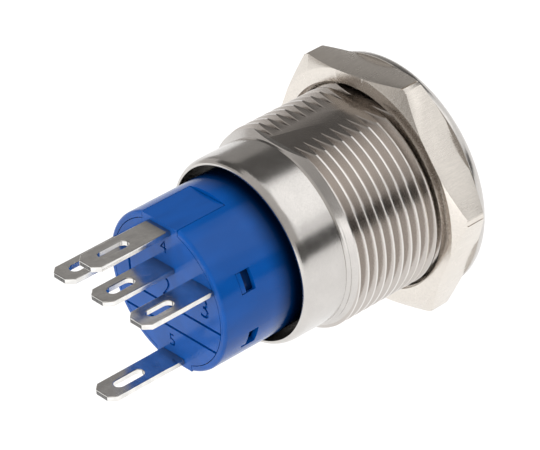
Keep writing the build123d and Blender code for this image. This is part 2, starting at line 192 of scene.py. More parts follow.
class SwitchBlockSizes(PropertyGroup):
    """Sizes of the blue sleeve and of the terminal base."""

    sleeve_radius: length("Sleeve radius", "Outer radius of the sleeve", 7.44)
    base_radius: length("Base radius", "Outer radius of the terminal base", 6.87)
    cavity_radius: length("Cavity radius", "Radius of the contact chamber", 6.4)
    front: length("Front", "Where the sleeve's front face lies", 7.4)
    front_wall: length("Front wall", "Thickness of the sleeve's front wall", 1.0)
    collar_radius: length("Collar radius", "Radius of the collar on the front", 4.1)
    stem_bore: length("Stem bore", "Radius of the slider's hole", 2.15)
    bead_start: length("Bead start", "Where the snap bead begins", 11.0)
    bead_width: length("Bead width", "Length of the snap bead", 1.0)
    bead_height: length("Bead height", "Height of the snap bead", 0.34)
    end_round: length("End rounding", "Rounding of the sleeve's rear rim", 0.3)
    gap: length("Gap", "Gap round the pieces that fit together", 0.06)
    tongue_width: length("Tongue width", "Width of the base's two tongues", 4.5)
    tongue_length: length("Tongue length", "Length of the base's two tongues", 5.22)
    tongue_height: length("Tongue height", "Height of a tongue's flat above the axis", 7.08)
    window_above: angle("Upper windows", "Angle of the upper windows from the horizontal", 21.0)
    window_below: angle("Lower windows", "Angle of the lower windows from the horizontal", 24.3)
    window_width: length("Window width", "Width of the four windows", 1.9)
    window_length: length("Window length", "Length of the four windows", 1.5)
    window_place: length("Window place", "Distance of the windows from the rear", 2.27)
    groove_width: length("Groove width", "Width of the grooves in the rear face", 0.25)
    groove_depth: length("Groove depth", "Depth of the grooves in the rear face", 0.3)
    upper_groove: length("Upper groove", "Height of the upper groove", -1.28)
    lower_groove: length("Lower groove", "Height of the lower groove", -3.5)
    edge_round: length("Edge rounding", "Rounding of the moulded edges", 0.06)
    mark_height: length("Numeral height", "Size of the row's sunk numerals", 2.9)
    lamp_mark_height: length("Lamp numeral", "Size of the lamp blades' numerals", 1.8)
    mark_depth: length("Numeral depth", "How deep the numerals are sunk", 0.22)


class SwitchBladeSizes(PropertyGroup):
    """Sizes of the five terminals."""

    width: length("Blade width", "Width of a blade", 2.8)
    thickness: length("Blade thickness", "Thickness of a blade", 0.5)
    corner: length("Blade corner", "Cut corners at the tip", 0.62)
    eye_width: length("Eye width", "Width of the long eye", 1.1)
    eye_length: length("Eye length", "Length of the eyes in the row", 2.7)
    eye_from_tip: length("Eye to tip", "Distance from a tip to its eye in the row", 1.2)
    lamp_eye_length: length("Lamp eye length", "Length of the lamp blades' eyes", 3.05)
    lamp_eye_from_tip: length("Lamp eye to tip", "From a lamp blade's tip to its eye", 1.45)
    edge_round: length("Edge rounding", "Rounding of the blade's edges", 0.06)
    side_x: length("Side row", "Distance of the outer blades from the middle", 5.0)
    stem_inner: length("Stem inner", "Inner half width of a stem", 0.9)
    stem_outer: length("Stem outer", "Outer half width of a stem", 0.6)
    lamp_stem: length("Lamp stem", "Width of the lamp terminals' stems", 1.0)
    arm_half: length("Arm", "Half width of the arms in the block", 0.7)
    pivot_y: length("Pivot", "Where the rocker's saddle lies", 14.1)
    pivot_drop: length("Pivot drop", "How far the saddle reaches below the strip", 0.45)
    contact_offset: length("Contact offset", "Distance of the contacts from the saddle", 2.6)
    saddle: length("Saddle", "Thickness of the saddle", 0.5)
    rocker_width: length("Rocker width", "Width of the rocking strip", 2.4)
    rivet_radius: length("Rivet radius", "Radius of the rivets' holes", 0.35)


class SwitchFinishes(PropertyGroup):
    """Colours of the finishes."""

    nickel: colour("Turned nickel", "Satin nickel on the housing", (0.60, 0.575, 0.55))
    nut: colour("Nut nickel", "Brushed nickel on the nut", (0.77, 0.72, 0.66))
    steel: colour("Cap steel", "Brushed steel of the cap", (0.58, 0.575, 0.565))
    blue: colour("Blue plastic", "Moulded plastic of the contact block", (0.0, 0.071, 0.32))
    tin: colour("Tin plate", "Tinned blades", (0.81, 0.795, 0.77))
    silver: colour("Silver", "Contact faces", (0.86, 0.84, 0.80))
    bronze: colour("Bronze", "Rocking contact strip", (0.62, 0.36, 0.18))
    spring: colour("Spring steel", "Coil springs", (0.47, 0.465, 0.46))
    rubber: colour("Rubber", "Seals", (0.018, 0.018, 0.019))
    board: colour("Board", "Lamp board", (0.02, 0.16, 0.055))
    guide: colour("Light guide", "Frosted ring round the cap", (0.80, 0.83, 0.85))
    white: colour("White plastic", "Slider and plunger", (0.74, 0.73, 0.69))
    chip: colour("Black plastic", "Resistor on the lamp board", (0.02, 0.02, 0.021))


class SwitchStudio(PropertyGroup):
    """Camera, lamps and floor."""

    azimuth: angle("Azimuth", "Where the camera stands round the switch", 231.12)
    elevation: angle("Elevation", "How far the camera looks down", 32.191)
    roll: angle("Roll", "Turn of the camera about its own axis", -5.17)
    distance: length("Distance", "From the camera to the switch", 284.4)
    lens: FloatProperty(
        name="Lens", description="Focal length of the camera", default=214.4255, unit="CAMERA"
    )
    floor_drop: length("Floor drop", "How far the floor lies below the switch", 30.0)
    floor_lift: share("Floor lift", "What the floor adds where it is seen", 0.28)
    softbox_size: length("Softbox", "Side of the main lamp", 300.0)
    softbox_distance: length("Softbox distance", "From the main lamp to the switch", 450.0)
    softbox_power: FloatProperty(
        name="Softbox power", description="Power of the main lamp", default=0.12, unit="POWER"
    )
    fill_power: FloatProperty(
        name="Fill power", description="Power of the lamp behind", default=1.0, unit="POWER"
    )
    ambient: share("Ambient", "Level of the light from all round", 0.85)


def sizes_of(name):
    """A group of this switch's properties on the scene."""
    return getattr(bpy.context.scene, "switch_" + name)


# ---- mesh helpers
def polar(radius, turn, y=0.0):
    """A point at a radius and an angle from +X towards +Z."""
    return Vector((radius * math.cos(turn), y, radius * math.sin(turn)))


def tidy(mesh):
    """Merges doubled points, drops empty faces and points all faces outwards."""
    bmesh.ops.remove_doubles(mesh, verts=mesh.verts, dist=CLOSE)
    bmesh.ops.dissolve_degenerate(mesh, edges=mesh.edges, dist=CLOSE)
    bmesh.ops.recalc_face_normals(mesh, faces=mesh.faces)
    return mesh


def bevelled(mesh, geom, width, segments, affect="EDGES", clamp=True):
    """Bevels edges or corners of a mesh."""
    bmesh.ops.bevel(
        mesh, geom=geom, offset=width, offset_type="OFFSET", segments=segments, profile=0.5,
        affect=affect, clamp_overlap=clamp, material=-1,
    )


def spun(mesh, turn, steps, axis=AXIS, rise=(0, 0, 0), merge=False):
    """Sweeps a mesh's points and edges about an axis, with a rise at each step."""
    bmesh.ops.spin(
        mesh, geom=mesh.verts[:] + mesh.edges[:], cent=(0, 0, 0), axis=axis, dvec=rise,
        angle=turn, space=Matrix(), steps=steps, use_merge=merge, use_normal_flip=False,
        use_duplicate=False,
    )


def sliced(mesh, point, way):
    """Cuts off what lies past a plane."""
    bmesh.ops.bisect_plane(
        mesh, geom=mesh.verts[:] + mesh.edges[:] + mesh.faces[:], dist=CLOSE,
        plane_co=point, plane_no=way, clear_outer=True, clear_inner=False,
    )


def capped(mesh):
    """Closes the open ends of a mesh."""
    bmesh.ops.holes_fill(mesh, edges=[e for e in mesh.edges if e.is_boundary], sides=0)
    return tidy(mesh)


def turned(points):
    """A solid of revolution about Y from (radius, y) or (radius, y, rounding) points."""
    mesh = bmesh.new()
    corners = [mesh.verts.new((point[0], point[1], 0)) for point in points]
    mesh.faces.new(corners)
    for corner, point in zip(corners, points):
        if len(point) == 3:
            bevelled(mesh, [corner], point[2], 6, affect="VERTICES", clamp=False)
    bmesh.ops.delete(mesh, geom=mesh.faces[:], context="FACES_ONLY")
    inside = [e for e in mesh.edges if all(v.co.x < CLOSE for v in e.verts)]
    bmesh.ops.delete(mesh, geom=inside, context="EDGES")
    spun(mesh, math.tau, ROUND_STEPS, merge=True)
    return tidy(mesh)


def block(low, high):
    """A box between two corners."""
    low, high = Vector(low), Vector(high)
    mesh = bmesh.new()
    spread = Matrix.Diagonal((*(high - low), 1))
    bmesh.ops.create_cube(mesh, size=1, matrix=Matrix.Translation((low + high) / 2) @ spread)
    return mesh


def rod(radius, start, end):
    """A cylinder between two points."""
    start, end = Vector(start), Vector(end)
    mesh = bmesh.new()
    turn = (end - start).to_track_quat("Z", "Y").to_matrix().to_4x4()
    bmesh.ops.create_cone(
        mesh, cap_ends=True, segments=32, radius1=radius, radius2=radius,
        depth=(end - start).length, matrix=Matrix.Translation((start + end) / 2) @ turn,
    )
    return mesh


def around(mesh, turn):
    """Turns a mesh about the Y axis, from +X towards +Z."""
    bmesh.ops.rotate(mesh, verts=mesh.verts, cent=(0, 0, 0), matrix=Matrix.Rotation(-turn, 3, "Y"))
    return mesh


def extruded(mesh, way):
    """Gives the flat faces of a mesh a thickness."""
    grown = bmesh.ops.extrude_face_region(mesh, geom=mesh.faces[:])["geom"]
    bmesh.ops.translate(mesh, verts=[g for g in grown if isinstance(g, bmesh.types.BMVert)], vec=way)
    return tidy(mesh)


def softened(mesh, width, limit=HARD_ANGLE):
    """Rounds the hard edges of a solid."""
    hard = [e for e in mesh.edges if e.is_manifold and e.calc_face_angle() > limit]
    bevelled(mesh, hard, width, 2)
    return tidy(mesh)


def placed(name, data):
    """A new object in the scene."""
    made = bpy.data.objects.new(name, data)
    bpy.context.scene.collection.objects.link(made)
    return made


def as_object(mesh, name):
    """Writes a mesh to a new object."""
    data = bpy.data.meshes.new(name)
    mesh.to_mesh(data)
    mesh.free()
    return placed(name, data)


def as_mesh(holder):
    """The finished shape of an object, ready to edit."""
    shape = holder.evaluated_get(bpy.context.evaluated_depsgraph_get())
    mesh = bmesh.new()
    mesh.from_mesh(shape.to_mesh())
    shape.to_mesh_clear()
    return mesh


def combine(mesh, tool, operation):
    """The union, difference or intersection of two solids."""
    body = as_object(mesh, "body")
    other = as_object(tool, "tool")
    modifier = body.modifiers.new("Combine", "BOOLEAN")
    modifier.operation = operation
    modifier.solver = "EXACT"
    modifier.object = other
    result = as_mesh(body)
    for used in (body, other):
        data = used.data
        bpy.data.objects.remove(used)
        bpy.data.meshes.remove(data)
    if not result.faces:
        raise RuntimeError("two solids could not be combined")
    return tidy(result)


def joined(*meshes):
    """The union of several solids."""
    whole = meshes[0]
    for mesh in meshes[1:]:
        whole = combine(whole, mesh, "UNION")
    return whole


def cut(mesh, *tools):
    """A solid with others taken away."""
    for tool in tools:
        mesh = combine(mesh, tool, "DIFFERENCE")
    return mesh


def piece(mesh, name, body, finish, slot, *nodes):
    """A finished piece that rides on a body and stands for CAD nodes."""
    shown = as_object(mesh, name)
    shown.data.shade_smooth()
    shown.data.set_sharp_from_angle(angle=HARD_ANGLE)
    shown.data.materials.append(finish)
    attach(shown, body)
    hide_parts(*nodes)
    return shown


def coat(finish, *nodes):
    """Gives CAD nodes a finish."""
    for name in nodes:
        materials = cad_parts[name].data.materials
        materials.clear()
        materials.append(finish)


# ---- material helpers
def socket_name(word):
    """The shader's socket for a keyword such as base_color."""
    return word.replace("_", " ").title().replace("Ior", "IOR")


class Finish:
    """A node material for one finish, built round a Principled shader."""

    def __init__(self, name, **constants):
        self.material = bpy.data.materials.new(name)
        self.material.use_nodes = True
        self.tree = self.material.node_tree
        self.shader = self.tree.nodes["Principled BSDF"]
        for socket, value in constants.items():
            self.shader.inputs[socket_name(socket)].default_value = value
        self.place = self.add("ShaderNodeTexCoord").outputs["Object"]

    def add(self, kind, inputs=None, **settings):
        """Adds a node; inputs gives {socket: value or output}."""
        node = self.tree.nodes.new(kind)
        for name, value in settings.items():
            setattr(node, name, value)
        for socket, value in (inputs or {}).items():
            self.feed(node.inputs[socket], value)
        return node

    def feed(self, socket, value):
        """Links an output to a socket, or sets the socket's own value."""
        if isinstance(value, bpy.types.NodeSocket):
            self.tree.links.new(value, socket)
        else:
            socket.default_value = value

    def math(self, operation, *values):
        """The result of a math node."""
        return self.add(
            "ShaderNodeMath", dict(enumerate(values)), operation=operation
        ).outputs[0]

    def parts(self):
        """X, Y, Z and the distance from the switch's axis, in millimetres."""
        place = self.add(
            "ShaderNodeVectorMath", {0: self.place, "Scale": 1 / MM}, operation="SCALE"
        ).outputs[0]
        split = self.add("ShaderNodeSeparateXYZ", {0: place}).outputs
        flat = self.add(
            "ShaderNodeVectorMath", {0: place, 1: (1, 0, 1)}, operation="MULTIPLY"
        ).outputs[0]
        radius = self.add("ShaderNodeVectorMath", {0: flat}, operation="LENGTH").outputs["Value"]
        return split[0], split[1], split[2], radius

    def noise(self, scale, detail=2.0, roughness=0.5, stretch=(1, 1, 1), vector=None):
        """Noise with cells of about 1/scale millimetres."""
        source = self.place if vector is None else vector
        size = 1 / MM if vector is None else 1
        mapped = self.add(
            "ShaderNodeMapping", {0: source, "Scale": [s * size for s in stretch]}
        ).outputs[0]
        return self.add(
            "ShaderNodeTexNoise",
            {"Vector": mapped, "Scale": scale, "Detail": detail, "Roughness": roughness},
        ).outputs[0]

    def spread(self, value, low, high, start=0.3, end=0.7):
        """Maps start..end of a value to low..high."""
        return self.add(
            "ShaderNodeMapRange",
            {0: value, 1: start, 2: end, 3: low, 4: high},
            interpolation_type="SMOOTHSTEP",
        ).outputs[0]

    def tint(self, fac, first, second):
        """A mix of two colours."""
        mix = self.add("ShaderNodeMix", data_type="RGBA")
        for socket, value in ((mix.inputs[0], fac), (mix.inputs[6], first), (mix.inputs[7], second)):
            self.feed(socket, value)
        return mix.outputs[2]

    def mottle(self, noise, tone, dark, bright):
        """Two shades of a colour, mixed by noise."""
        return self.tint(self.spread(noise, 0, 1), shade(tone, dark), shade(tone, bright))

    def bump(self, height, distance, strength=1.0, under=None):
        """A bump of the given depth in millimetres."""
        inputs = {"Height": height, "Distance": distance * MM, "Strength": strength}
        if under is not None:
            inputs["Normal"] = under
        return self.add("ShaderNodeBump", inputs).outputs[0]

    def use(self, **links):
        """Links outputs to the shader's sockets."""
        for socket, value in links.items():
            self.feed(self.shader.inputs[socket_name(socket)], value)
        return self.material


def shade(tone, factor):
    """A colour made darker or lighter, with its alpha."""
    return [min(1.0, channel * factor) for channel in tone] + [1.0]


def turning_rings(finish, scale):
    """Fine rings left by turning: noise that changes along a profile and not round it."""
    _, y, _, radius = finish.parts()
    ring = finish.add("ShaderNodeCombineXYZ", {0: radius, 1: y, 2: 0.0}).outputs[0]
    return finish.noise(scale, detail=3.0, roughness=0.65, vector=ring)


def satin_nickel():
    """Satin nickel on turned brass, with fine turning rings, a darker, warmer tone over the thread, a
    painted highlight on its crests and painted shade in the bore.
    """
    tone = sizes_of("finishes").nickel
    finish = Finish("satin_nickel", metallic=1.0)
    rings = turning_rings(finish, 9.0)
    grain = finish.noise(11.0, detail=3.0, roughness=0.6)
    cloud = finish.noise(0.55, detail=3.0)
    _, y, _, radius = finish.parts()
    rough = finish.math(
        "ADD", finish.spread(grain, 0.15, 0.23), finish.spread(cloud, -0.02, 0.03)
    )
    base = finish.mottle(cloud, tone, 0.96, 1.04)
    speck = finish.spread(grain, 0.0, 0.3, 0.4, 0.75)
    base = finish.tint(speck, base, shade(tone, 0.72))
    sizes = sizes_of("housing")
    threaded = finish.math("LESS_THAN", y, sizes.thread_end / MM)
    outside = finish.math("GREATER_THAN", y, 0.0)
    # A darker, warmer colour over the whole thread, crests and flanks alike.
    thread_tone = [0.86 * tone[0], 0.83 * tone[1], 0.81 * tone[2], 1.0]
    thread = finish.math("MULTIPLY", threaded, outside)
    base = finish.tint(thread, base, thread_tone)
    # Painted highlight: the thread's crests are coloured lighter, so they show as bright lines.
    crest = finish.math("GREATER_THAN", radius, sizes.thread_radius / MM - 0.04)
    base = finish.tint(finish.math("MULTIPLY", crest, thread), base, shade(tone, 1.16))
    # Painted shade: the bore and the rear mouth behind the lip are coloured almost black.
    bore = finish.math("LESS_THAN", radius, (sizes.mouth_radius / MM) + 0.02)
    behind = finish.math("GREATER_THAN", y, sizes.lip_depth / MM)
    painted_bore_shade = finish.math("MULTIPLY", finish.math("MULTIPLY", bore, behind), 0.85)
    base = finish.tint(painted_bore_shade, base, shade(tone, 0.1))
    soft = finish.bump(rings, 0.004, 0.3)
    return finish.use(
        base_color=base, roughness=rough, normal=finish.bump(grain, 0.007, 0.4, under=soft)
    )


def nut_nickel():
    """Brighter nickel on the nut, drawn along the flats and grainy on the turned corners."""
    tone = sizes_of("finishes").nut
    finish = Finish("nut_nickel", metallic=1.0)
    lines = finish.noise(6.0, detail=3.0, roughness=0.7, stretch=(1, 0.12, 1))
    grain = finish.noise(20.0, detail=3.0, roughness=0.7)
    cloud = finish.noise(0.4, detail=2.0)
    base = finish.mottle(lines, tone, 0.92, 1.05)
    base = finish.tint(finish.spread(grain, 0, 0.35, 0.3, 0.8), base, shade(tone, 0.7))
    rough = finish.math(
        "ADD", finish.spread(lines, 0.16, 0.27), finish.spread(cloud, -0.03, 0.04)
    )
    soft = finish.bump(lines, 0.006, 0.6)
    return finish.use(
        base_color=base, roughness=rough, normal=finish.bump(grain, 0.006, 0.4, under=soft)
    )


def blue_plastic():
    """Glossy moulded plastic with faint flow marks, with painted shade in the windows and inside the
    sleeve, and a painted shadow that darkens it towards the tube's mouth.
    """
    tone = sizes_of("finishes").blue
    finish = Finish("blue_plastic", ior=1.5)
    grain = finish.noise(14.0, detail=2.0)
    flow = finish.noise(0.5, detail=2.0, stretch=(1, 0.4, 1))
    _, y, _, radius = finish.parts()
    sizes = sizes_of("block")
    # Painted shade: in the windows' depths and inside the sleeve, the plastic is coloured nearly
    # black. This covers everything nearer the axis than just past the base's rim and ahead of its
    # rear face.
    under = finish.math("LESS_THAN", radius, sizes.base_radius / MM + 0.08)
    ahead = finish.math("LESS_THAN", y, REAR_Y / MM - 0.3)
    deep = finish.math("MULTIPLY", finish.math("MULTIPLY", under, ahead), 0.75)
    # Painted shadow: towards the housing's mouth, the plastic and its reflections fade to near black,
    # where the metal tube shades it.
    mouth = HOUSING[1].y / MM
    painted_mouth_shadow_fade = finish.spread(y, 0.05, 1.0, mouth - 0.2, mouth + 2.7)
    base = finish.mottle(flow, tone, 0.92, 1.1)
    base = finish.tint(painted_mouth_shadow_fade, BLACK, base)
    base = finish.tint(deep, base, BLACK)
    rough = finish.math(
        "ADD", finish.spread(grain, 0.13, 0.2), finish.spread(flow, -0.02, 0.03)
    )
    return finish.use(
        base_color=base, roughness=rough, normal=finish.bump(grain, 0.003, 0.4),
        specular_ior_level=finish.math("MULTIPLY", painted_mouth_shadow_fade, 0.25),
    )


def tin_plate():
    """Dull tin on punched brass blades, with rolling lines along them and painted shade at their
    roots.
    """
    tone = sizes_of("finishes").tin
    finish = Finish("tin_plate", metallic=1.0)
    lines = finish.noise(4.0, detail=3.0, roughness=0.65, stretch=(1, 0.1, 1))
    spots = finish.noise(1.2, detail=4.0)
    base = finish.mottle(spots, tone, 0.88, 1.06)
    _, y, _, _ = finish.parts()
    # Painted shade: each blade is coloured darker at its root by the rear face, fading out over its
    # first 1.6 mm or so.
    clear = finish.spread(y, 0.0, 1.0, REAR_Y / MM - 0.2, REAR_Y / MM + 1.6)
    base = finish.tint(clear, shade(tone, 0.45), base)
    rough = finish.math("ADD", finish.spread(lines, 0.13, 0.19), finish.spread(spots, 0, 0.05))
    return finish.use(base_color=base, roughness=rough, normal=finish.bump(lines, 0.0015, 0.4))


def sheared_tin():
    """The rough, darker face that shearing leaves at a blade's tip."""
    finish = Finish("sheared_tip", metallic=1.0)
    tear = finish.noise(9.0, detail=4.0, roughness=0.7, stretch=(1, 1, 0.3))
    tone = sizes_of("finishes").tin
    base = finish.mottle(tear, tone, 0.06, 0.3)
    return finish.use(
        base_color=base, roughness=finish.spread(tear, 0.3, 0.5),
        normal=finish.bump(tear, 0.03, 0.6),
    )


def cap_steel():
    """Brushed steel of the cap, turned in fine rings."""
    tone = sizes_of("finishes").steel
    finish = Finish("cap_steel", metallic=1.0, anisotropic=0.5)
    rings = turning_rings(finish, 14.0)
    base = finish.mottle(rings, tone, 0.9, 1.08)
    return finish.use(
        base_color=base, roughness=finish.spread(rings, 0.2, 0.34),
        normal=finish.bump(rings, 0.005, 0.6),
    )


def frosted_guide():
    """Frosted clear plastic of the light guide."""
    tone = sizes_of("finishes").guide
    finish = Finish("frosted_guide", ior=1.49, transmission_weight=0.35)
    grain = finish.noise(18.0, detail=2.0)
    base = finish.mottle(grain, tone, 0.95, 1.03)
    return finish.use(
        base_color=base, roughness=finish.spread(grain, 0.3, 0.45),
        normal=finish.bump(grain, 0.004, 0.4),
    )


def small_finish(name, tone, metallic, low, high, scale, depth):
    """A finish for a small inner piece: even colour, grain in its gloss and surface."""
    finish = Finish(name, metallic=metallic)
    grain = finish.noise(scale, detail=3.0, roughness=0.6)
    base = finish.mottle(grain, tone, 0.86, 1.1)
    return finish.use(
        base_color=base, roughness=finish.spread(grain, low, high),
        normal=finish.bump(grain, depth, 0.5),
    )


def emitter(name, tone, strength):
    """A plain glowing surface for a studio card."""
    made = bpy.data.materials.new(name)
    made.use_nodes = True
    tree = made.node_tree
    tree.nodes.clear()
    glow = tree.nodes.new("ShaderNodeEmission")
    glow.inputs["Color"].default_value = (*tone, 1)
    glow.inputs["Strength"].default_value = strength
    out = tree.nodes.new("ShaderNodeOutputMaterial")
    tree.links.new(glow.outputs[0], out.inputs[0])
    return made


# ---- pieces
def thread_ring(size):
    """The external thread as a ring, cut to the lead-in cone and the key flat."""
    flank = (size.pitch - size.crest_flat - size.root_flat) / 2
    first = size.thread_start - 2.2 * size.pitch
    inner = size.barrel_radius - 0.4 * MM
    profile = [
        (size.root_radius, first),
        (size.root_radius, first + size.root_flat),
        (size.thread_radius, first + size.root_flat + flank),
        (size.thread_radius, first + size.root_flat + flank + size.crest_flat),
        (size.root_radius, first + size.pitch),
    ]
    turns = math.ceil((size.barrel_start - first) / size.pitch) + 1
    mesh = bmesh.new()
    for line in (profile, [(inner, first), (inner, first + size.pitch)]):
        points = [mesh.verts.new((radius, y, 0)) for radius, y in line]
        for one, two in zip(points, points[1:]):
            mesh.edges.new((one, two))
    spun(mesh, math.tau * turns, ROUND_STEPS * turns, rise=AXIS * size.pitch / ROUND_STEPS)
    bmesh.ops.remove_doubles(mesh, verts=mesh.verts, dist=CLOSE)
    ends = ((-0.2 * MM, -AXIS), (size.barrel_start + 0.2 * MM, AXIS))
    for y, way in ends:
        sliced(mesh, (0, y, 0), way)
    for y, _ in ends:
        rim = [
            e for e in mesh.edges
            if e.is_boundary and all(abs(v.co.y - y) < 10 * CLOSE for v in e.verts)
        ]
        bmesh.ops.bridge_loops(mesh, edges=rim)
    tidy(mesh)
    envelope = turned([
        (inner + 0.2 * MM, -0.1 * MM),
        (size.thread_radius, -0.1 * MM),
        (size.thread_radius, size.thread_end),
        (size.barrel_radius, size.barrel_start),
        (inner + 0.2 * MM, size.barrel_start),
    ])
    way = polar(1, size.flat_angle)
    sliced(envelope, way * size.flat_radius, way)
    return combine(mesh, capped(envelope), "INTERSECT")


def housing_mesh(size):
    """Flange, bores and barrel turned in one, with the thread round it."""
    front, mouth = HOUSING[0].y, HOUSING[1].y
    flange = HOUSING[1].x
    lip = front + size.lip_depth
    under = size.barrel_radius - 0.02 * MM
    bead = sizes_of("block")
    bead_end = bead.bead_start + bead.bead_width
    round_y, round_r = mouth - size.mouth_round_length, size.barrel_radius - size.mouth_round
    rim = [
        (
            round_r + size.mouth_round * math.cos(n * math.pi / 16),
            round_y + size.mouth_round_length * math.sin(n * math.pi / 16),
        )
        for n in range(9)
    ]
    return joined(turned([
        (size.opening_radius, lip),
        (size.opening_radius, front, size.edge_break * 2),
        (flange, front + size.face_tilt, size.flange_round),
        (flange, 0, size.edge_break),
        (size.groove_outer, 0),
        (size.groove_outer, -size.groove_depth),
        (size.groove_inner, -size.groove_depth),
        (size.groove_inner, 0),
        (under, 0),
        (under, size.barrel_start),
        (size.barrel_radius, size.barrel_start),
        (size.barrel_radius - size.neck_depth, size.barrel_start + size.neck_width / 2),
        (size.barrel_radius, size.barrel_start + size.neck_width),
        *rim,
        (size.mouth_radius, mouth, size.edge_break / 3),
        (size.mouth_radius, mouth - size.mouth_depth),
        (size.bore_radius, mouth - size.mouth_depth),
        (size.bore_radius, bead_end),
        (size.bead_groove, bead_end),
        (size.bead_groove, bead.bead_start),
        (size.bore_radius, bead.bead_start),
        (size.bore_radius, lip),
    ]), thread_ring(size))


def nut_mesh(size):
    """A hexagon with both faces turned off at the corners and a chamfered hole."""
    low, high = NUT[0].y, NUT[1].y
    corner = size.flats_radius / math.cos(math.pi / 6)
    mesh = bmesh.new()
    lay = Matrix.Translation((0, low, 0)) @ Matrix.Rotation(math.pi / 2, 4, "X")
    bmesh.ops.create_circle(mesh, cap_ends=True, segments=6, radius=corner, matrix=lay)
    first = mesh.verts[:][0].co
    around(mesh, size.turn - math.atan2(first.z, first.x))
    extruded(mesh, AXIS * (high - low))
    long_edges = [e for e in mesh.edges if abs(e.verts[0].co.y - e.verts[1].co.y) > CLOSE]
    bevelled(mesh, long_edges, size.corner_facet, 1)
    start = size.flats_radius + size.face_proud
    reach = corner + PAST
    drop = (reach - start) * math.tan(size.chamfer)
    hole = size.bore_radius + size.bore_chamfer
    pitch = sizes_of("housing").pitch
    grooves = []
    for n in range(int((high - low) / pitch)):
        y = high - size.bore_chamfer - n * pitch
        grooves += [(size.bore_radius, y), (size.bore_radius + size.bore_groove, y - pitch / 2)]
    blank = turned([
        (hole, low),
        (start, low),
        (reach, low + drop),
        (reach, high - drop),
        (start, high),
        (hole, high),
        *grooves,
        (size.bore_radius, low + size.bore_chamfer),
    ])
    nut = softened(combine(tidy(mesh), blank, "INTERSECT"), size.edge_round)
    half = size.facet_line / 2
    away = corner * math.sin(math.pi / 6) - size.corner_facet
    lines = bmesh.new()
    for n in range(6):
        for side in (away, -away):
            line = block(
                (size.flats_radius - size.facet_line, low - PAST, side - half),
                (size.flats_radius + PAST, high + PAST, side + half),
            )
            around(line, size.turn + math.radians(30 + 60 * n))
            held = bpy.data.meshes.new("line")
            line.to_mesh(held)
            line.free()
            lines.from_mesh(held)
            bpy.data.meshes.remove(held)
    return cut(nut, lines)


class SWITCH_OT_housing(Operator):
    """Adds the turned metal housing with its thread"""

    bl_idname = "switch.housing"
    bl_label = "Metal Housing"

    def execute(self, context):
        mesh = housing_mesh(context.scene.switch_housing)
        piece(mesh, "metal_housing", "housing", satin_nickel(), "plated_brass", "housing_shell")
        return {"FINISHED"}


class SWITCH_OT_nut(Operator):
    """Adds the hexagon nut"""

    bl_idname = "switch.nut"
    bl_label = "Hexagon Nut"

    def execute(self, context):
        mesh = nut_mesh(context.scene.switch_nut)
        piece(mesh, "hexagon_nut", "nut", nut_nickel(), "nut_nickel", "hex_nut")
        return {"FINISHED"}


class SWITCH_OT_button(Operator):
    """Adds the metal cap and the light guide whose rim is the lit ring"""

    bl_idname = "switch.button"
    bl_label = "Button and Light Guide"

    def execute(self, context):
        size = context.scene.switch_button
        cap_low, cap_high = CAP
        cap_r = cap_high.x
        cap = turned([
            (0, cap_low.y), (cap_r, cap_low.y, size.cap_edge), (cap_r, cap_high.y), (0, cap_high.y)
        ])
        piece(cap, "cap", "button", cap_steel(), "cap_steel", "button_cap")
        rim_y = cap_low.y + size.cap_edge
        ring_r = context.scene.switch_housing.opening_radius - 0.05 * MM
        guide_r, end_y = GUIDE[1].x, GUIDE[1].y
        web_y = cap_high.y + size.web
        boss_end = web_y + size.boss_length
        band_y = end_y - 0.65 * MM - size.seal_band
        start_y = band_y - size.flange_band
        boss_r = size.pin_radius + size.boss_wall
        guide = turned([
            (cap_r, rim_y), (ring_r, rim_y, size.cap_edge), (ring_r, start_y), (guide_r, start_y),
            (guide_r, band_y, 0.1 * MM), (guide_r - size.seal_band, band_y),
            (guide_r - size.seal_band, band_y + size.seal_band),
            (guide_r, band_y + size.seal_band), (guide_r, end_y, 0.1 * MM),
            (guide_r - size.skirt_wall, end_y), (guide_r - size.skirt_wall, web_y),
            (boss_r, web_y), (boss_r, boss_end), (size.pin_radius, boss_end),
            (size.pin_radius, boss_end - size.pin_length),
            (0, boss_end - size.pin_length), (0, cap_high.y), (cap_r, cap_high.y),
        ])
        piece(guide, "lit_ring", "button", frosted_guide(), "light_guide", "light_guide")
        return {"FINISHED"}


def window_turns(size):
    """The angles of the four windows, from +X towards +Z."""
    above, below = size.window_above, size.window_below
    return (above, math.pi - above, math.pi + below, -below)


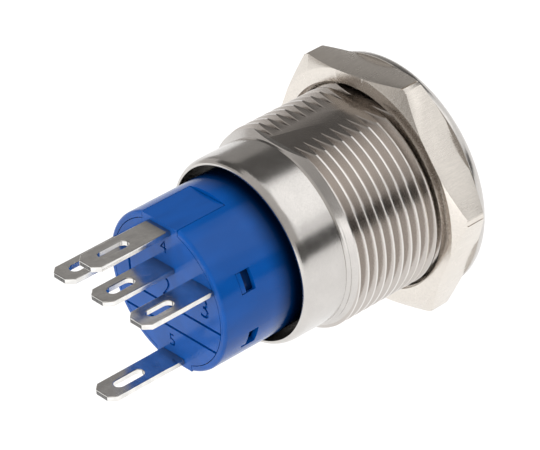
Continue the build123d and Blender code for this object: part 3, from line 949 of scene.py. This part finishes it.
def sleeve_mesh(size, blades):
    """The blue sleeve with its notches, windows, wire grooves and guide slots."""
    end = REAR_Y
    base_start = BASE[0].y
    collar_y = SLEEVE[0].y
    mesh = turned([
        (size.stem_bore, collar_y),
        (size.collar_radius, collar_y),
        (size.collar_radius, size.front),
        (size.sleeve_radius, size.front, 0.15 * MM),
        (size.sleeve_radius, size.bead_start),
        (size.sleeve_radius + size.bead_height, size.bead_start),
        (size.sleeve_radius + size.bead_height, size.bead_start + size.bead_width / 2),
        (size.sleeve_radius, size.bead_start + size.bead_width),
        (size.sleeve_radius, end, size.end_round),
        (size.base_radius, end),
        (size.base_radius, base_start),
        (size.cavity_radius, base_start),
        (size.cavity_radius, size.front + size.front_wall),
        (size.stem_bore, size.front + size.front_wall),
    ])
    half = size.tongue_width / 2 + size.gap
    far = size.sleeve_radius + PAST
    low = size.cavity_radius / 2
    notch_y = end - size.tongue_length - size.gap
    lead = blades.lamp_stem / 2 + 0.1 * MM
    lead_z = LAMP_PLUS[1].z - blades.thickness / 2
    lead_half = blades.thickness / 2 + 0.1 * MM
    for side in (0, math.pi):
        notch = around(block((-half, notch_y, low), (half, end + PAST, far)), side)
        groove = around(
            block((-lead, size.front - PAST, lead_z - lead_half), (lead, end, lead_z + lead_half)),
            side,
        )
        mesh = cut(mesh, notch, groove)
    window_y = end - size.window_place
    for turn in window_turns(size):
        window = block(
            (low, window_y - size.window_length, -size.window_width / 2),
            (far, window_y, size.window_width / 2),
        )
        mesh = cut(mesh, around(window, turn))
    slot_end = size.cavity_radius + 0.4 * MM
    guide_slot = block(
        (-slot_end, size.front + size.front_wall, -0.5 * MM), (slot_end, base_start, 0.5 * MM)
    )
    return softened(cut(mesh, guide_slot), size.edge_round, MOULDED_ANGLE)


def stem_cutters(size, blades):
    """The straight passages for the five stems."""
    start, end = BASE[0].y - PAST, REAR_Y + PAST
    row_low, row_high = COMMON[1].z - blades.thickness, COMMON[1].z
    lamp_high = LAMP_PLUS[1].z
    inner, outer = blades.stem_inner, blades.stem_outer
    spans = [
        (blades.side_x - inner, blades.side_x + outer, row_low, row_high),
        (-blades.side_x - outer, -blades.side_x + inner, row_low, row_high),
        (-inner, inner, row_low, row_high),
        (-blades.lamp_stem / 2, blades.lamp_stem / 2, lamp_high - blades.thickness, lamp_high),
        (-blades.lamp_stem / 2, blades.lamp_stem / 2, -lamp_high, blades.thickness - lamp_high),
    ]
    return [block((x0, start, z0), (x1, end, z1)) for x0, x1, z0, z1 in spans]


def numeral(size, height, text, x, z):
    """The cutter for a plain numeral in the rear face, read from behind."""
    words = bpy.data.curves.new("numeral", "FONT")
    words.body = text
    words.size = height
    words.align_x = "CENTER"
    words.align_y = "CENTER"
    words.resolution_u = 4
    holder = placed("numeral", words)
    mesh = as_mesh(holder)
    bpy.data.objects.remove(holder)
    bpy.data.curves.remove(words)
    bmesh.ops.remove_doubles(mesh, verts=mesh.verts, dist=CLOSE)
    bmesh.ops.join_triangles(
        mesh, faces=mesh.faces, angle_face_threshold=math.pi, angle_shape_threshold=math.pi
    )
    facing = Matrix(((-1, 0, 0), (0, 0, 1), (0, 1, 0)))
    low = Matrix.Translation((x, REAR_Y - size.mark_depth, z))
    bmesh.ops.transform(mesh, matrix=low @ facing.to_4x4(), verts=mesh.verts)
    return extruded(mesh, AXIS * size.mark_depth * 2)


def base_mesh(size, blades):
    """The plug with its tongues, snap tabs, face grooves and numerals."""
    start, end = BASE[0].y, REAR_Y
    low = size.cavity_radius / 2
    radius = size.base_radius - size.gap
    mesh = turned([(0, start), (radius, start), (radius, end), (0, end)])
    half = size.tongue_width / 2
    tab_end = end - size.window_place - size.gap
    tab_start = tab_end - size.window_length + 2 * size.gap
    tab_r = size.sleeve_radius - size.gap
    for side in (0, math.pi):
        tongue = block((-half, end - size.tongue_length, low), (half, end, size.tongue_height))
        mesh = joined(mesh, around(tongue, side))
    width = size.window_width / 2 - size.gap
    for turn in window_turns(size):
        tab_middle = tab_end - size.window_length * 0.3
        wedge = turned([
            (0, tab_start), (radius, tab_start), (radius, tab_middle), (tab_r, tab_middle),
            (tab_r, tab_end), (0, tab_end),
        ])
        keep = around(block((low, start, -width), (radius * 2, end, width)), turn)
        mesh = joined(mesh, combine(wedge, keep, "INTERSECT"))
    for height in (size.upper_groove, size.lower_groove):
        groove = block(
            (-radius * 2, end - size.groove_depth, height - size.groove_width / 2),
            (radius * 2, end + PAST, height + size.groove_width / 2),
        )
        mesh = cut(mesh, groove)
    mesh = softened(cut(mesh, *stem_cutters(size, blades)), size.edge_round, MOULDED_ANGLE)
    tall, small = size.mark_height, size.lamp_mark_height
    row_z = COMMON[1].z - 2.5 * MM
    places = (
        (tall, "1", blades.side_x - 0.2 * MM, row_z),
        (tall, "2", 0, row_z),
        (tall, "3", -blades.side_x + 0.1 * MM, row_z),
        (small, "4", -0.2 * MM, LAMP_PLUS[1].z - 2.1 * MM),
        (small, "5", 0, 1.8 * MM - LAMP_PLUS[1].z),
    )
    return cut(mesh, *(numeral(size, *place) for place in places))


class SWITCH_OT_contact_block(Operator):
    """Adds the blue sleeve, the terminal base and its numerals"""

    bl_idname = "switch.contact_block"
    bl_label = "Blue Contact Block"

    def execute(self, context):
        size = context.scene.switch_block
        blades = context.scene.switch_blades
        finish = blue_plastic()
        sleeve = sleeve_mesh(size, blades)
        piece(sleeve, "blue_sleeve", "housing", finish, "blue_plastic", "contact_sleeve")
        base = base_mesh(size, blades)
        piece(base, "blue_base", "housing", finish, "blue_plastic", "terminal_base")
        return {"FINISHED"}


def blade_mesh(size, x, high, tip, eye_length, eye_from_tip):
    """The flat blade outside the base, with cut corners and a long eye."""
    half = size.width / 2
    start = REAR_Y
    outline = [
        (-half, start), (half, start), (half, tip - size.corner), (half - size.corner, tip),
        (size.corner - half, tip), (-half, tip - size.corner),
    ]
    mesh = bmesh.new()
    mesh.faces.new([mesh.verts.new((x + px, py, high - size.thickness)) for px, py in outline])
    extruded(mesh, Vector((0, 0, size.thickness)))
    eye = bmesh.new()
    eye_end = tip - eye_from_tip
    radius = size.eye_width / 2
    below = Matrix.Translation((x, eye_end - radius, high - size.thickness * 2))
    bmesh.ops.create_circle(eye, cap_ends=True, segments=48, radius=radius, matrix=below)
    back = [v for v in eye.verts if v.co.y < eye_end - radius - CLOSE]
    bmesh.ops.translate(eye, verts=back, vec=-AXIS * (eye_length - size.eye_width))
    extruded(eye, Vector((0, 0, size.thickness * 3)))
    return cut(mesh, eye)


def row_blade(size, x):
    """A blade of the row of three contact terminals."""
    high, tip = COMMON[1].z, COMMON[1].y
    return blade_mesh(size, x, high, tip, size.eye_length, size.eye_from_tip)


def riveted(size, mesh, y):
    """A terminal of the row with the hole for its rivet."""
    low, high = COMMON[1].z - size.thickness, COMMON[1].z
    return cut(mesh, rod(size.rivet_radius, (0, y, low - PAST), (0, y, high + PAST)))


def strip(size, x0, x1, start, high):
    """A straight strip of blade thickness that ends just past the rear face."""
    return block((x0, start, high - size.thickness), (x1, REAR_Y + 0.3 * MM, high))


class SWITCH_OT_terminals(Operator):
    """Adds the five terminals, from their blades to their arms in the block"""

    bl_idname = "switch.terminals"
    bl_label = "Terminals"

    def execute(self, context):
        size = context.scene.switch_blades
        finish = tin_plate()
        sheared = sheared_tin()
        row = COMMON[1].z
        low = row - size.thickness
        x, inner, outer = size.side_x, size.stem_inner, size.stem_outer
        wide = size.rocker_width / 2
        closed = size.pivot_y - size.contact_offset
        opened = size.pivot_y + size.contact_offset
        saddle_z = row - size.thickness - size.pivot_drop
        nose = rod(
            size.saddle / 2, (-wide, size.pivot_y, saddle_z), (wide, size.pivot_y, saddle_z)
        )
        common = joined(
            row_blade(size, x),
            strip(size, x - inner, x + outer, size.pivot_y - size.arm_half, row),
            block((-wide, size.pivot_y - size.arm_half, low), (x, size.pivot_y + size.arm_half, row)),
            block(
                (-wide, size.pivot_y - size.saddle / 2, saddle_z),
                (wide, size.pivot_y + size.saddle / 2, row - size.thickness / 2),
            ),
            nose,
        )
        closed_side = joined(
            row_blade(size, -x),
            strip(size, -x - outer, -x + inner, closed - size.arm_half, row),
            block((-x, closed - size.arm_half, low), (size.arm_half, closed + size.arm_half, row)),
        )
        open_side = joined(
            row_blade(size, 0), strip(size, -inner, inner, opened - size.arm_half, row)
        )
        lamp_high = LAMP_PLUS[1].z
        half = size.lamp_stem / 2
        made = {
            "terminal_common": common,
            "terminal_normally_closed": riveted(size, closed_side, closed),
            "terminal_normally_open": riveted(size, open_side, opened),
        }
        for name, turn in (("lamp_terminal_plus", 0), ("lamp_terminal_minus", math.pi)):
            lead = strip(size, -half, half, LAMP_PLUS[0].y, lamp_high)
            flat = blade_mesh(
                size, 0, lamp_high, LAMP_PLUS[1].y, size.lamp_eye_length, size.lamp_eye_from_tip
            )
            made[name] = around(joined(flat, lead), turn)
        for name, mesh in made.items():
            soft = softened(mesh, size.edge_round)
            blade = piece(
                soft, name.replace("terminal", "blade"), "housing", finish, "tinned_blade", name
            )
            blade.data.materials.append(sheared)
            for face in blade.data.polygons:
                if face.normal.y > 0.99 and face.center.y > REAR_Y + 1 * MM:
                    face.material_index = 1
        return {"FINISHED"}


def coil(radius, wire, turns, low, high):
    """A round-wire coil along +Z between two seats."""
    rise = (high - low - wire) / turns
    mesh = bmesh.new()
    stand = Matrix.Translation((radius, 0, low + wire / 2)) @ Matrix.Rotation(math.pi / 2, 4, "X")
    bmesh.ops.create_circle(mesh, cap_ends=False, segments=14, radius=wire / 2, matrix=stand)
    spun(mesh, math.tau * turns, COIL_STEPS * turns, (0, 0, 1), (0, 0, rise / COIL_STEPS))
    return capped(mesh)


class SWITCH_OT_springs(Operator):
    """Adds the button's return spring and the plunger's small spring"""

    bl_idname = "switch.springs"
    bl_label = "Springs"

    def execute(self, context):
        tone = context.scene.switch_finishes.spring
        finish = small_finish("spring_steel", tone, 1.0, 0.16, 0.26, 12.0, 0.003)
        low, high = SPRING
        wire = 0.45 * MM
        wound = coil(high.x - wire / 2, wire, 5, low.y, high.y)
        bmesh.ops.rotate(
            wound, verts=wound.verts, cent=(0, 0, 0), matrix=Matrix.Rotation(-math.pi / 2, 3, "X")
        )
        main = piece(wound, "return_coil", "housing", finish, "spring_steel", "return_spring")
        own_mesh(main)
        low, high = PLUNGER_SPRING
        wire = 0.18 * MM
        small = coil((high.x - low.x) / 2 - wire / 2, wire, 5, low.z, high.z)
        bmesh.ops.translate(small, verts=small.verts, vec=(0, (low.y + high.y) / 2, 0))
        tiny = piece(small, "plunger_coil", "button", finish, "spring_steel", "plunger_spring")
        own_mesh(tiny)
        return {"FINISHED"}


class SWITCH_OT_inner_finishes(Operator):
    """Gives the seals, the lamp board and the contact mechanism their finishes"""

    bl_idname = "switch.inner_finishes"
    bl_label = "Inner Finishes"

    def execute(self, context):
        tones = context.scene.switch_finishes
        # name, colour, metallic, least and greatest roughness, grain size, grain depth, nodes
        for *look, nodes in (
            ("seal_rubber", tones.rubber, 0.0, 0.5, 0.65, 9.0, 0.01, ["panel_seal", "actuator_seal"]),
            ("lamp_board", tones.board, 0.0, 0.35, 0.5, 4.0, 0.01, ["led_board"]),
            ("chip_lens", tones.guide, 0.0, 0.2, 0.3, 12.0, 0.004, ["leds"]),
            ("chip_black", tones.chip, 0.0, 0.3, 0.45, 10.0, 0.006, ["series_resistor"]),
            ("bronze_strip", tones.bronze, 1.0, 0.22, 0.36, 8.0, 0.005, ["contact_rocker"]),
            ("silver_contact", tones.silver, 1.0, 0.18, 0.3, 9.0, 0.004, [
                "normally_closed_contact", "normally_open_contact", "moving_contacts"
            ]),
            ("white_plastic", tones.white, 0.0, 0.38, 0.5, 6.0, 0.008, [
                "contact_slider", "contact_plunger"
            ]),
        ):
            coat(small_finish(*look), *nodes)
        return {"FINISHED"}


# ---- stage
def add_camera(studio):
    """The camera, aimed at the middle of the switch."""
    aim = Vector((6.227, 8.96, -3.957)) * MM
    back = Vector((
        math.sin(studio.azimuth) * math.cos(studio.elevation),
        -math.cos(studio.azimuth) * math.cos(studio.elevation),
        math.sin(studio.elevation),
    ))
    data = bpy.data.cameras.new("camera")
    data.lens = studio.lens
    data.sensor_width = 36
    data.clip_start, data.clip_end = 0.01, 20
    camera = placed("camera", data)
    camera.rotation_mode = "QUATERNION"
    level = (-back).to_track_quat("-Z", "Y")
    camera.rotation_quaternion = Quaternion(back, studio.roll) @ level
    camera.location = aim + back * studio.distance
    bpy.context.scene.camera = camera


def add_lamp(name, way, studio, power):
    """A square soft lamp that shines at the switch from a direction."""
    data = bpy.data.lights.new(name, "AREA")
    data.shape = "SQUARE"
    data.size = studio.softbox_size
    data.energy = power
    lamp = placed(name, data)
    lamp.rotation_mode = "QUATERNION"
    way = Vector(way).normalized()
    lamp.location = way * studio.softbox_distance + Vector((0, 12 * MM, 0))
    lamp.rotation_quaternion = way.to_track_quat("Z", "Y")
    return lamp


def as_card(mesh, name, strength):
    """A glowing sheet that only reflections show."""
    card = as_object(mesh, name)
    card.data.materials.append(emitter(name, CARD_TONE, strength))
    card.visible_camera = False
    card.visible_diffuse = False
    card.visible_shadow = False
    card.visible_transmission = False
    card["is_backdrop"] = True


def add_card(name, radius, start, end, low_y, high_y, strength):
    """A curved grey card round the switch, seen only in reflections."""
    mesh = bmesh.new()
    ends = [mesh.verts.new(polar(radius, math.radians(start), y)) for y in (low_y, high_y)]
    mesh.edges.new(ends)
    spun(mesh, math.radians(end - start), 24, -AXIS)
    as_card(mesh, name, strength)


def add_screen(name, y, half, low_z, strength):
    """An upright grey card behind the switch, seen only in reflections."""
    mesh = bmesh.new()
    centre = Vector((0, y, low_z + half))
    bmesh.ops.create_grid(
        mesh, x_segments=1, y_segments=1, size=half,
        matrix=Matrix.Translation(centre) @ Matrix.Rotation(math.pi / 2, 4, "X"),
    )
    as_card(mesh, name, strength)


def add_dome(name, radius, low_y, low_z, strength):
    """A grey dome over the rear of the switch, seen only in reflections."""
    mesh = bmesh.new()
    bmesh.ops.create_uvsphere(mesh, u_segments=48, v_segments=24, radius=radius)
    for point, way in (((0, low_y, 0), -AXIS), ((0, 0, low_z), Vector((0, 0, -1)))):
        sliced(mesh, point, way)
    as_card(mesh, name, strength)


def add_floor(studio):
    """A wide pale floor a little below the switch."""
    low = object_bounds()[0].z - studio.floor_drop
    mesh = bmesh.new()
    bmesh.ops.create_grid(
        mesh, x_segments=1, y_segments=1, size=6, matrix=Matrix.Translation((0, 0, low))
    )
    floor = as_object(mesh, "floor")
    pale = Finish(
        "pale_floor", base_color=(0.86, 0.86, 0.86, 1), roughness=0.9, emission_color=(1, 1, 1, 1)
    )
    path = pale.add("ShaderNodeLightPath").outputs
    seen = pale.math("MAXIMUM", path["Is Camera Ray"], path["Is Glossy Ray"])
    floor.data.materials.append(
        pale.use(emission_strength=pale.math("MULTIPLY", seen, studio.floor_lift))
    )
    floor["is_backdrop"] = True


def light_world(studio):
    """Soft light from all round; the camera, metal and glass see it as white."""
    world = bpy.data.worlds.new("studio")
    world.use_nodes = True
    tree = world.node_tree
    shine = tree.nodes["Background"]
    shine.inputs["Color"].default_value = (1, 1, 1, 1)
    path = tree.nodes.new("ShaderNodeLightPath")
    seen = path.outputs["Is Camera Ray"]
    for kind in ("Is Glossy Ray", "Is Transmission Ray"):
        either = tree.nodes.new("ShaderNodeMath")
        either.operation = "MAXIMUM"
        tree.links.new(seen, either.inputs[0])
        tree.links.new(path.outputs[kind], either.inputs[1])
        seen = either.outputs[0]
    level = tree.nodes.new("ShaderNodeMapRange")
    level.inputs["To Min"].default_value = studio.ambient
    level.inputs["To Max"].default_value = 1.0
    tree.links.new(seen, level.inputs["Value"])
    tree.links.new(level.outputs[0], shine.inputs["Strength"])
    bpy.context.scene.world = world


class SWITCH_OT_stage(Operator):
    """Adds the floor, the lamps, the studio cards and the camera"""

    bl_idname = "switch.stage"
    bl_label = "Studio"

    def execute(self, context):
        studio = context.scene.switch_studio
        context.scene.view_settings.view_transform = "Standard"
        add_camera(studio)
        light_world(studio)
        add_floor(studio)
        add_lamp("softbox", (-0.41, -0.53, 0.74), studio, studio.softbox_power)
        fill = add_lamp("rear_fill", (-0.25, 0.9, 0.35), studio, studio.fill_power)
        fill.visible_glossy = False
        add_card("side_card", 0.8, 4, 41, -1.6, -0.2, 0.34)
        add_card("upper_card", 0.8, 41, 86, -1.6, -0.2, 0.12)
        add_card("brow_card", 0.8, 28, 62, -0.2, 0.3, 0.1)
        add_card("low_card", 0.8, 161, 187, -1.6, 0.3, 0.08)
        add_screen("rear_card", 1.0, 0.45, -0.1, 0.42)
        add_dome("rear_dome", 1.3, -0.3, 0.05, 0.58)
        return {"FINISHED"}


class SWITCH_PT_panel(Panel):
    """The switch's pieces in the sidebar"""

    bl_idname = "SWITCH_PT_panel"
    bl_label = "Push Button Switch"
    bl_space_type = "VIEW_3D"
    bl_region_type = "UI"
    bl_category = "Switch"

    def draw(self, context):
        for operator in OPERATORS:
            self.layout.operator(operator.bl_idname)
        for name in GROUPS:
            group = sizes_of(name)
            box = self.layout.box()
            box.label(text=name.title())
            for key in group.__annotations__:
                box.prop(group, key)


GROUPS = {
    "housing": SwitchHousingSizes,
    "nut": SwitchNutSizes,
    "button": SwitchButtonSizes,
    "block": SwitchBlockSizes,
    "blades": SwitchBladeSizes,
    "finishes": SwitchFinishes,
    "studio": SwitchStudio,
}
OPERATORS = (
    SWITCH_OT_housing,
    SWITCH_OT_nut,
    SWITCH_OT_button,
    SWITCH_OT_contact_block,
    SWITCH_OT_terminals,
    SWITCH_OT_springs,
    SWITCH_OT_inner_finishes,
    SWITCH_OT_stage,
)


def register():
    for group in GROUPS.values():
        bpy.utils.register_class(group)
    for name, group in GROUPS.items():
        setattr(bpy.types.Scene, "switch_" + name, PointerProperty(type=group))
    for operator in OPERATORS:
        bpy.utils.register_class(operator)
    bpy.utils.register_class(SWITCH_PT_panel)


def unregister():
    bpy.utils.unregister_class(SWITCH_PT_panel)
    for operator in reversed(OPERATORS):
        bpy.utils.unregister_class(operator)
    for name, group in GROUPS.items():
        delattr(bpy.types.Scene, "switch_" + name)
        bpy.utils.unregister_class(group)


def main():
    """Builds the whole switch."""
    register()
    for operator in OPERATORS:
        family, name = operator.bl_idname.split(".")
        getattr(getattr(bpy.ops, family), name)()
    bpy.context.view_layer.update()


if __name__ == "__main__":
    main()
